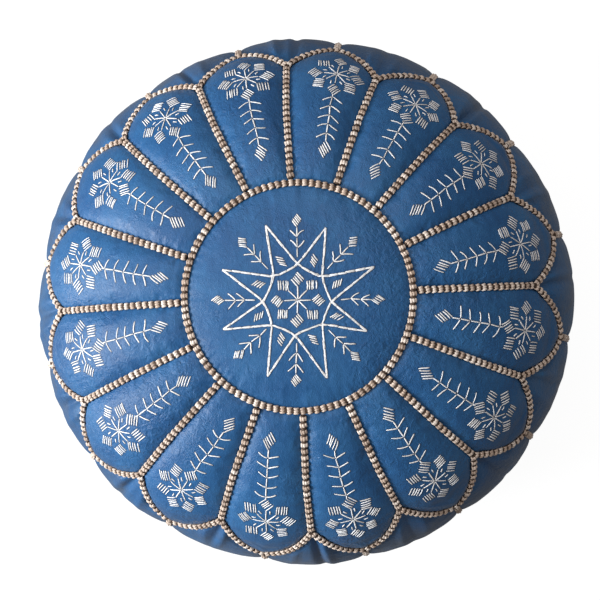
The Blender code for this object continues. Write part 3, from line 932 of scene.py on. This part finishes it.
def build_coil(word, side, nylon):
    """Nylon spiral of one half of the zip."""
    low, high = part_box(f"zip_coil_{word}")
    wire, pitch, per_turn, sides = 0.0003, 0.0016, 12, 6
    inner, outer = 0.00062, max(abs(low.y), abs(high.y))
    turns = (high.x - low.x - 2 * wire) / pitch
    angle = np.linspace(0, 2 * math.pi * turns, int(turns * per_turn)) + (math.pi if side > 0 else 0)
    reach, rise = (outer - inner) / 2 - wire, (high.z - low.z) / 2 - wire
    path = np.stack([np.linspace(low.x + wire, high.x - wire, len(angle)),
                     side * ((outer + inner) / 2 + reach * np.cos(angle)),
                     (low.z + high.z) / 2 + rise * np.sin(angle)], axis=-1)
    along = unit(np.gradient(path, axis=0))
    across = unit(np.cross(along, [1.0, 0.0, 0.0]))
    up = np.cross(along, across)
    points = tube_points(path, across, up, wire, wire, sides)
    piece = new_mesh_object(f"coil_{word}", points, tube_faces(len(path), sides), nylon)
    settle(piece, f"zip_coil_{word}")


def build_tape(word, weave):
    """Woven tape of one half of the zip, with fine ribs along it."""
    low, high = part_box(f"zip_tape_{word}")
    x, y = np.meshgrid(np.linspace(low.x, high.x, 160), np.linspace(low.y, high.y, 45),
                       indexing="ij")
    rest, rib, rib_pitch, wave = 0.00012, 0.00007, 0.0012, 0.00004
    height = low.z + rest + rib * np.sin(2 * math.pi * y / rib_pitch) + wave * np.sin(90 * x)
    grid = np.stack([x, y, height], axis=-1)
    piece = new_mesh_object(f"tape_{word}", grid, grid_faces(*grid.shape[:2]), weave)
    thicken(piece, TAPE_GAUGE)
    settle(piece, f"zip_tape_{word}")


def finish_metal(metal):
    """Worn brass and softened edges on the zip's own metal pieces."""
    for word in ("slider", "pull", "bottom_stop", "top_stop_front", "top_stop_rear"):
        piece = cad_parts[f"zip_{word}"]
        piece.data.materials.clear()
        piece.data.materials.append(metal)
        bevel = piece.modifiers.new("Soft edges", "BEVEL")
        bevel.width = 0.00014
        bevel.segments = 2
        bevel.limit_method = "ANGLE"
        bevel.angle_limit = math.radians(35)


# ---- lining and stuffing

def round_body(name, rings, material):
    """Closed surface through rings of points; the first and the last ring close to a point."""
    count = rings.shape[1]
    first, last = rings[:1].mean(axis=1), rings[-1:].mean(axis=1)
    points = np.concatenate([first, rings[1:-1].reshape(-1, 3), last])
    end = len(points) - 1
    faces = [(0, 1 + j, 1 + (j + 1) % count) for j in range(count)]
    for i in range(len(rings) - 3):
        a, b = 1 + i * count, 1 + (i + 1) * count
        faces += [(a + j, b + j, b + (j + 1) % count, a + (j + 1) % count) for j in range(count)]
    a = 1 + (len(rings) - 3) * count
    faces += [(end, a + (j + 1) % count, a + j) for j in range(count)]
    return new_mesh_object(name, points, faces, material)


def filled_rings(depth, floor, bumps, around=144, along=70, across=16):
    """Rings of a body that fills the cover from its top to a flat floor."""
    angle = circle(around)[None, :]
    height = HEIGHTS - depth * UPWARD
    past_top = slice(len(height) // 4, None)
    end = np.interp(-floor, -height[past_top], LENGTHS[past_top])
    length = np.linspace(0, end, along)[:, None]
    side = cover(angle, length, -depth - bumps(angle, length))
    share = np.linspace(1, 0, across)[1:, None, None]
    ground = side[-1:] * [1, 1, 0] * share + [0, 0, floor]
    side[-1, :, 2] = floor
    return np.concatenate([side, ground])


def build_lining(cotton):
    """Cotton bag with gathered folds and a slit over the zip."""
    def folds(angle, length):
        fold = np.sin(40 * angle + 5 * np.sin(9 * length)) + 0.6 * np.sin(23 * angle + 14 * length)
        return 0.0004 * (1.6 + fold) * np.clip(length / 0.05, 0, 1)

    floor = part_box("cotton_lining")[0].z
    piece = round_body("lining_bag", filled_rings(0.0066, floor, folds), cotton)
    thicken(piece, 0.0009)
    half_size = (ZIP_LENGTH / 2, SLOT_HALF, 0.005, 1)
    shape = Matrix.Translation((0, 0, floor)) @ Matrix.Diagonal(half_size)
    cut = bmesh.new()
    bmesh.ops.create_cube(cut, size=2, matrix=shape)
    slit = bpy.data.meshes.new("slit")
    cut.to_mesh(slit)
    cut.free()
    cutter = new_object("slit", slit)
    opening = piece.modifiers.new("Slit", "BOOLEAN")
    opening.object = cutter
    evaluated = piece.evaluated_get(bpy.context.evaluated_depsgraph_get())
    opened = bpy.data.meshes.new_from_object(evaluated)
    piece.modifiers.clear()
    piece.data = opened
    bpy.data.objects.remove(cutter, do_unlink=True)
    settle(piece, "cotton_lining")


def build_stuffing(fibre):
    """Lumps of loose filling pressed against the lining."""
    def lumps(angle, length):
        lump = np.sin(11 * angle + 20 * length) * np.sin(55 * length + 2 * np.sin(5 * angle))
        lump = lump + 0.5 * np.sin(29 * angle - 35 * length) * np.sin(120 * length + angle)
        return 0.0014 * (1.5 + lump) * np.clip(length / 0.04, 0, 1)

    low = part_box("stuffing")[0].z
    piece = round_body("filling", filled_rings(FILLING_DEPTH, low, lumps), fibre)
    settle(piece, "stuffing")


# ---- materials

class Shader:
    """Principled material with the few node patterns that the pouf's materials share."""

    def __init__(self, name, roughness, metallic=0.0, **constants):
        self.material = bpy.data.materials.new(name)
        self.material.use_nodes = True
        self.nodes = self.material.node_tree.nodes
        self.links = self.material.node_tree.links
        self.shader = self.nodes["Principled BSDF"]
        self.shader.inputs["Roughness"].default_value = roughness
        self.shader.inputs["Metallic"].default_value = metallic
        for socket, value in constants.items():
            self.shader.inputs[socket.replace("_", " ")].default_value = value
        self.place = self.nodes.new("ShaderNodeTexCoord").outputs["Object"]
        self.height = None

    def put(self, socket, value):
        """Links a socket to another node's output, or sets it to a number or a colour."""
        if isinstance(value, bpy.types.NodeSocket):
            self.links.new(value, socket)
        elif socket.type == "RGBA":
            socket.default_value = (*value, 1.0)
        else:
            socket.default_value = value

    def add(self, kind, output, inputs, **settings):
        node = self.nodes.new("ShaderNode" + kind)
        for name, value in settings.items():
            setattr(node, name, value)
        for name, value in inputs.items():
            self.put(node.inputs[name], value)
        return node.outputs[output]

    def stretched(self, scale):
        return self.add("Mapping", "Vector", {"Vector": self.place, "Scale": scale})

    def noise(self, scale, detail=4.0, distortion=0.0, vector=None, kind="FBM"):
        return self.add("TexNoise", "Fac", {"Vector": vector or self.place, "Scale": scale,
                                            "Detail": detail, "Distortion": distortion},
                        noise_type=kind)

    def cells(self, scale):
        return self.add("TexVoronoi", "Distance", {"Vector": self.place, "Scale": scale},
                        feature="DISTANCE_TO_EDGE")

    def height_over_floor(self):
        return self.add("SeparateXYZ", "Z", {"Vector": self.place})

    def times(self, first, second):
        return self.add("Math", "Value", {0: first, 1: second}, operation="MULTIPLY")

    def attribute(self, name):
        return self.add("Attribute", "Fac", {}, attribute_name=name)

    def between(self, factor, low, high, start=0.0, end=1.0, curve="LINEAR"):
        """Runs from low to high while the factor runs from start to end."""
        return self.add("MapRange", "Result", {"Value": factor, "From Min": start, "From Max": end,
                                               "To Min": low, "To Max": high},
                        interpolation_type=curve)

    def ramp(self, factor, *stops):
        node = self.nodes.new("ShaderNodeValToRGB")
        ramp = node.color_ramp
        while len(ramp.elements) < len(stops):
            ramp.elements.new(0.5)
        for element, (position, colour) in zip(ramp.elements, stops):
            element.position = position
            element.color = (*colour, 1.0)
        self.links.new(factor, node.inputs["Fac"])
        return node.outputs["Color"]

    def mix(self, factor, first, second, blend="MIX"):
        """Mixed colour; the node's sockets for colours are the seventh and the eighth."""
        return self.add("Mix", 2, {0: factor, 6: first, 7: second}, data_type="RGBA",
                        blend_type=blend)

    def bump(self, factor, depth, strength=1.0):
        """Adds relief of a depth in metres on top of the reliefs added before."""
        below = {"Normal": self.height} if self.height else {}
        self.height = self.add("Bump", "Normal", {"Height": factor, "Distance": depth,
                                                  "Strength": strength, **below})
        self.links.new(self.height, self.shader.inputs["Normal"])

    def colour(self, value):
        self.put(self.shader.inputs["Base Color"], value)

    def roughness(self, value):
        self.links.new(value, self.shader.inputs["Roughness"])


def leather_material():
    """Glossy dyed goatskin: mottled blue, fine pebble grain and soft wrinkles."""
    leather = Shader("leather_blue", 0.40, Specular_IOR_Level=0.27, Sheen_Weight=0.05,
                     Sheen_Roughness=0.50, Coat_Weight=0.05, Coat_Roughness=0.30)
    clouds = leather.noise(14, 4, 0.6)
    blotches = leather.noise(75, 5, 0.8)
    dye = leather.ramp(clouds, (0.30, (0.015, 0.084, 0.222)), (0.52, (0.020, 0.104, 0.256)),
                       (0.74, (0.030, 0.127, 0.288)))
    patches = leather.ramp(blotches, (0.35, (0.86, 0.88, 0.91)), (0.65, (1.08, 1.06, 1.04)))
    tinted = leather.mix(1.0, dye, patches, "MULTIPLY")
    pebbles = leather.between(leather.cells(640), 0.0, 1.0, 0.0, 0.32, "SMOOTHSTEP")
    grain = leather.ramp(pebbles, (0.0, (0.80, 0.84, 0.88)), (0.6, (1.03, 1.02, 1.02)))
    tinted = leather.mix(1.0, tinted, grain, "MULTIPLY")
    # Painted shade and painted greyish reflection: below the top's rim the leather turns darker and
    # greyer in noisy patches, all round.
    low = leather.between(leather.height_over_floor(), 1.0, 0.0, 0.235, 0.290)
    painted_side_shade = leather.times(low, leather.between(leather.noise(26, 5, 1.2), 0.10, 0.85, 0.36, 0.64))
    side_shaded = leather.mix(painted_side_shade, tinted, (0.056, 0.087, 0.145))
    # Painted shade: the leather is darkened within 4 mm of its seams, where the hollow beside the cord
    # lies in shade.
    painted_seam_shade = leather.between(leather.attribute("edge"), 0.55, 0.0, 0.0, 0.004)
    leather.colour(leather.mix(painted_seam_shade, side_shaded, (0.016, 0.045, 0.110)))
    leather.roughness(leather.between(blotches, 0.33, 0.50, 0.3, 0.7))
    wrinkles = leather.noise(1.0, 3, 1.6, leather.stretched((70, 48, 60)))
    leather.bump(wrinkles, 0.0014, 0.35)
    creases = leather.noise(17, 3, 0.9, kind="RIDGED_MULTIFRACTAL")
    leather.bump(leather.between(creases, 0.0, 1.0, 0.75, 1.6), 0.0015, 0.50)
    worked = leather.between(leather.noise(8, 2, 0.5), 0.25, 1.0, 0.42, 0.58)
    leather.bump(leather.times(worked, leather.noise(210, 3, 0.8)), 0.0020, 0.75)
    leather.bump(pebbles, 0.00020, 0.60)
    leather.bump(leather.noise(1900, 2), 0.00012, 0.5)
    return leather.material


def thread_material(name, colour, roughness, relief, sheen=0.0):
    """Yarn of a single dye with the relief of its fibres; also the dark painted shade of the cord's
    core and the painted shadow under the stitches.
    """
    thread = Shader(name, roughness, Sheen_Weight=sheen, Sheen_Roughness=0.4)
    thread.colour(colour)
    thread.bump(thread.noise(1700, 3, 0.4), relief, 0.8)
    thread.roughness(thread.between(thread.noise(800, 2), roughness - 0.08, roughness + 0.08))
    return thread.material


def mottled(name, roughness, patches, dark, light):
    """Material between two colours; patches are the noise's scale, detail and distortion."""
    shader = Shader(name, roughness)
    shader.colour(shader.ramp(shader.noise(*patches), (0.3, dark), (0.7, light)))
    return shader


def cloth_material(name, dark, light, pitch, relief):
    """Plain weave of warp and weft."""
    cloth = mottled(name, 0.88, (60, 5), dark, light)
    pattern = {"Vector": cloth.place, "Scale": 1 / pitch / 3.2, "Distortion": 0.4}
    waves = [cloth.add("TexWave", "Fac", pattern, bands_direction=axis) for axis in ("X", "Y")]
    cloth.bump(cloth.times(*waves), relief, 0.6)
    return cloth.material


def nylon_material():
    nylon = mottled("zip_nylon", 0.42, (300, 3), (0.010, 0.026, 0.060), (0.017, 0.040, 0.085))
    nylon.bump(nylon.noise(2500, 2), 0.00004, 0.5)
    return nylon.material


def brass_material():
    """Plated brass with tarnish and fine scratches."""
    brass = Shader("zip_brass", 0.30, 1.0)
    tarnish = brass.noise(260, 5, 0.5)
    brass.colour(brass.ramp(tarnish, (0.32, (0.34, 0.23, 0.09)), (0.62, (0.64, 0.48, 0.22))))
    brass.roughness(brass.between(tarnish, 0.46, 0.22, 0.3, 0.7))
    brass.bump(brass.noise(1.0, 2, 0.3, brass.stretched((400, 6000, 6000))), 0.00005, 0.5)
    return brass.material


def fibre_material():
    fibre = mottled("loose_filling", 0.95, (45, 6, 1.5), (0.62, 0.57, 0.49), (0.80, 0.77, 0.71))
    fibre.bump(fibre.noise(220, 6, 2.0), 0.002, 0.8)
    return fibre.material


# ---- setting

def build_camera():
    """Looks straight down on the middle of the top, turned a little about the vertical."""
    position = (0.0268, -0.0415, TOP_HEIGHT + 1.2)
    camera = new_object("camera", bpy.data.cameras.new("camera"), position)
    camera.data.lens = 78.7
    back = (camera.location - Vector((0.0012, -0.0035, TOP_HEIGHT))).normalized()
    right = Vector((0.0533, 0.9986, 0.0)).cross(back).normalized()
    camera.rotation_euler = Matrix((right, back.cross(right), back)).transposed().to_euler()
    bpy.context.scene.camera = camera


def build_light(name, position, size, power, colour):
    lamp = bpy.data.lights.new(name, "AREA")
    lamp.shape = "DISK"
    lamp.size = size
    lamp.energy = power
    lamp.color = colour
    holder = new_object(name, lamp, position)
    towards = Vector((0, 0, 0.2)) - Vector(position)
    holder.rotation_euler = towards.to_track_quat("-Z", "Y").to_euler()
    holder.visible_camera = False


def build_base_light(depth=0.9):
    """Lamp under the floor whose cone takes in only the base."""
    lamp = bpy.data.lights.new("base_light", "SPOT")
    lamp.spot_size = 2 * math.atan((FOOT_RADIUS - 0.020) / depth)
    lamp.spot_blend = 0.15
    lamp.shadow_soft_size = 0.10
    lamp.energy = 22
    holder = new_object("base_light", lamp, (0, 0, -depth))
    holder.rotation_euler = (math.pi, 0, 0)
    holder.visible_camera = False


def build_floor():
    """Pale paper floor that takes a faint shadow, open under the base so that it shows from below."""
    sides = 96
    turn = circle(sides)
    ring = np.stack([np.cos(turn), np.sin(turn), 0 * turn], axis=-1)
    rings = np.concatenate([(FOOT_RADIUS - 0.015) * ring, 60.0 * ring])
    faces = [(j, sides + j, sides + (j + 1) % sides, (j + 1) % sides) for j in range(sides)]
    paper = Shader("pale_floor", 1.0, Emission_Color=(1.0, 1.0, 1.0, 1.0), Emission_Strength=0.94)
    paper.colour((0.12, 0.12, 0.12))
    floor = new_mesh_object("floor", rings, faces, paper.material)
    floor.visible_diffuse = False
    floor.visible_glossy = False


def build_world():
    """Dim neutral light from all round, pale behind the object."""
    world = bpy.data.worlds.new("studio")
    bpy.context.scene.world = world
    world.use_nodes = True
    nodes, links = world.node_tree.nodes, world.node_tree.links
    fill, backdrop = nodes["Background"], nodes.new("ShaderNodeBackground")
    fill.inputs["Color"].default_value = (1.0, 0.96, 0.93, 1.0)
    fill.inputs["Strength"].default_value = 0.22
    backdrop.inputs["Strength"].default_value = 1.0
    backdrop.inputs["Color"].default_value = (0.97, 0.97, 0.97, 1.0)
    chooser = nodes.new("ShaderNodeMixShader")
    links.new(nodes.new("ShaderNodeLightPath").outputs["Is Camera Ray"], chooser.inputs[0])
    links.new(fill.outputs[0], chooser.inputs[1])
    links.new(backdrop.outputs[0], chooser.inputs[2])
    links.new(chooser.outputs[0], nodes["World Output"].inputs["Surface"])


def build_setting():
    build_camera()
    build_world()
    build_floor()
    build_light("key", (-2.56, -0.42, 1.6), size=1.5, power=116, colour=(0.93, 0.98, 1.0))
    build_light("low_fill", (-2.4, -0.35, 0.55), size=1.2, power=32, colour=(0.95, 0.98, 1.0))
    build_light("top_fill", (-0.4, 1.1, 2.75), size=2.5, power=36, colour=(1.0, 0.97, 0.95))
    build_base_light()
    bpy.context.scene.view_settings.view_transform = "Standard"


# ---- the pouf

def build_pouf():
    leather = leather_material()
    seam_threads = [thread_material(f"seam_thread_{word}", colour, 0.62, 0.0003, 0.2)
                    for word, colour in (("beige", (0.63, 0.505, 0.42)), ("tan", (0.53, 0.40, 0.315)),
                                         ("pale", (0.74, 0.63, 0.55)), ("taupe", (0.42, 0.315, 0.25)))]
    # Painted shade: the dark core stands for the shade in the gaps between the stitches.
    cord_core_painted_shade = thread_material("cord_core_painted_shade", (0.060, 0.032, 0.018), 0.8, 0.0003)
    silk = [thread_material(f"silk_{word}", colour, 0.42, 0.0002, 0.25)
            for word, colour in (("ivory", (0.88, 0.88, 0.90)), ("cream", (0.83, 0.80, 0.785)),
                                 ("grey", (0.68, 0.67, 0.67)))]
    # Painted shadow: dark strips under the embroidery's stitches.
    silk.append(thread_material("stitch_painted_shadow", (0.008, 0.030, 0.078), 0.6, 0.0001))
    zip_thread = thread_material("zip_thread", (0.035, 0.095, 0.220), 0.6, 0.0002)

    medallion = Medallion()
    petals = [Petal(index) for index in range(PETALS)]
    panels = [medallion, *petals, *(SidePanel(index) for index in range(PETALS))]
    fill_out(panels)
    for panel in panels:
        panel.refine()
        panel.build(leather)
    build_cords(seam_threads, cord_core_painted_shade, (0.40, 0.27, 0.20, 0.13))
    silk_weights = (0.55, 0.30, 0.15)
    embroider_medallion(medallion, silk, (0.35, 0.50, 0.15))
    for index, petal in enumerate(petals):
        embroider_petal(index, petal, silk, silk_weights)

    build_base_half("base_leather_front", "base_half_front", -1, leather)
    build_base_half("base_leather_rear", "base_half_rear", 1, leather)
    build_zip_stitching(zip_thread)
    tape = cloth_material("zip_tape", (0.014, 0.034, 0.076), (0.024, 0.052, 0.108), 0.0009, 0.0003)
    nylon = nylon_material()
    for word, side in (("front", -1), ("rear", 1)):
        build_tape(word, tape)
        build_coil(word, side, nylon)
    finish_metal(brass_material())
    build_lining(cloth_material("cotton", (0.62, 0.56, 0.46), (0.76, 0.71, 0.61), 0.0008, 0.0004))
    build_stuffing(fibre_material())


build_setting()
build_pouf()
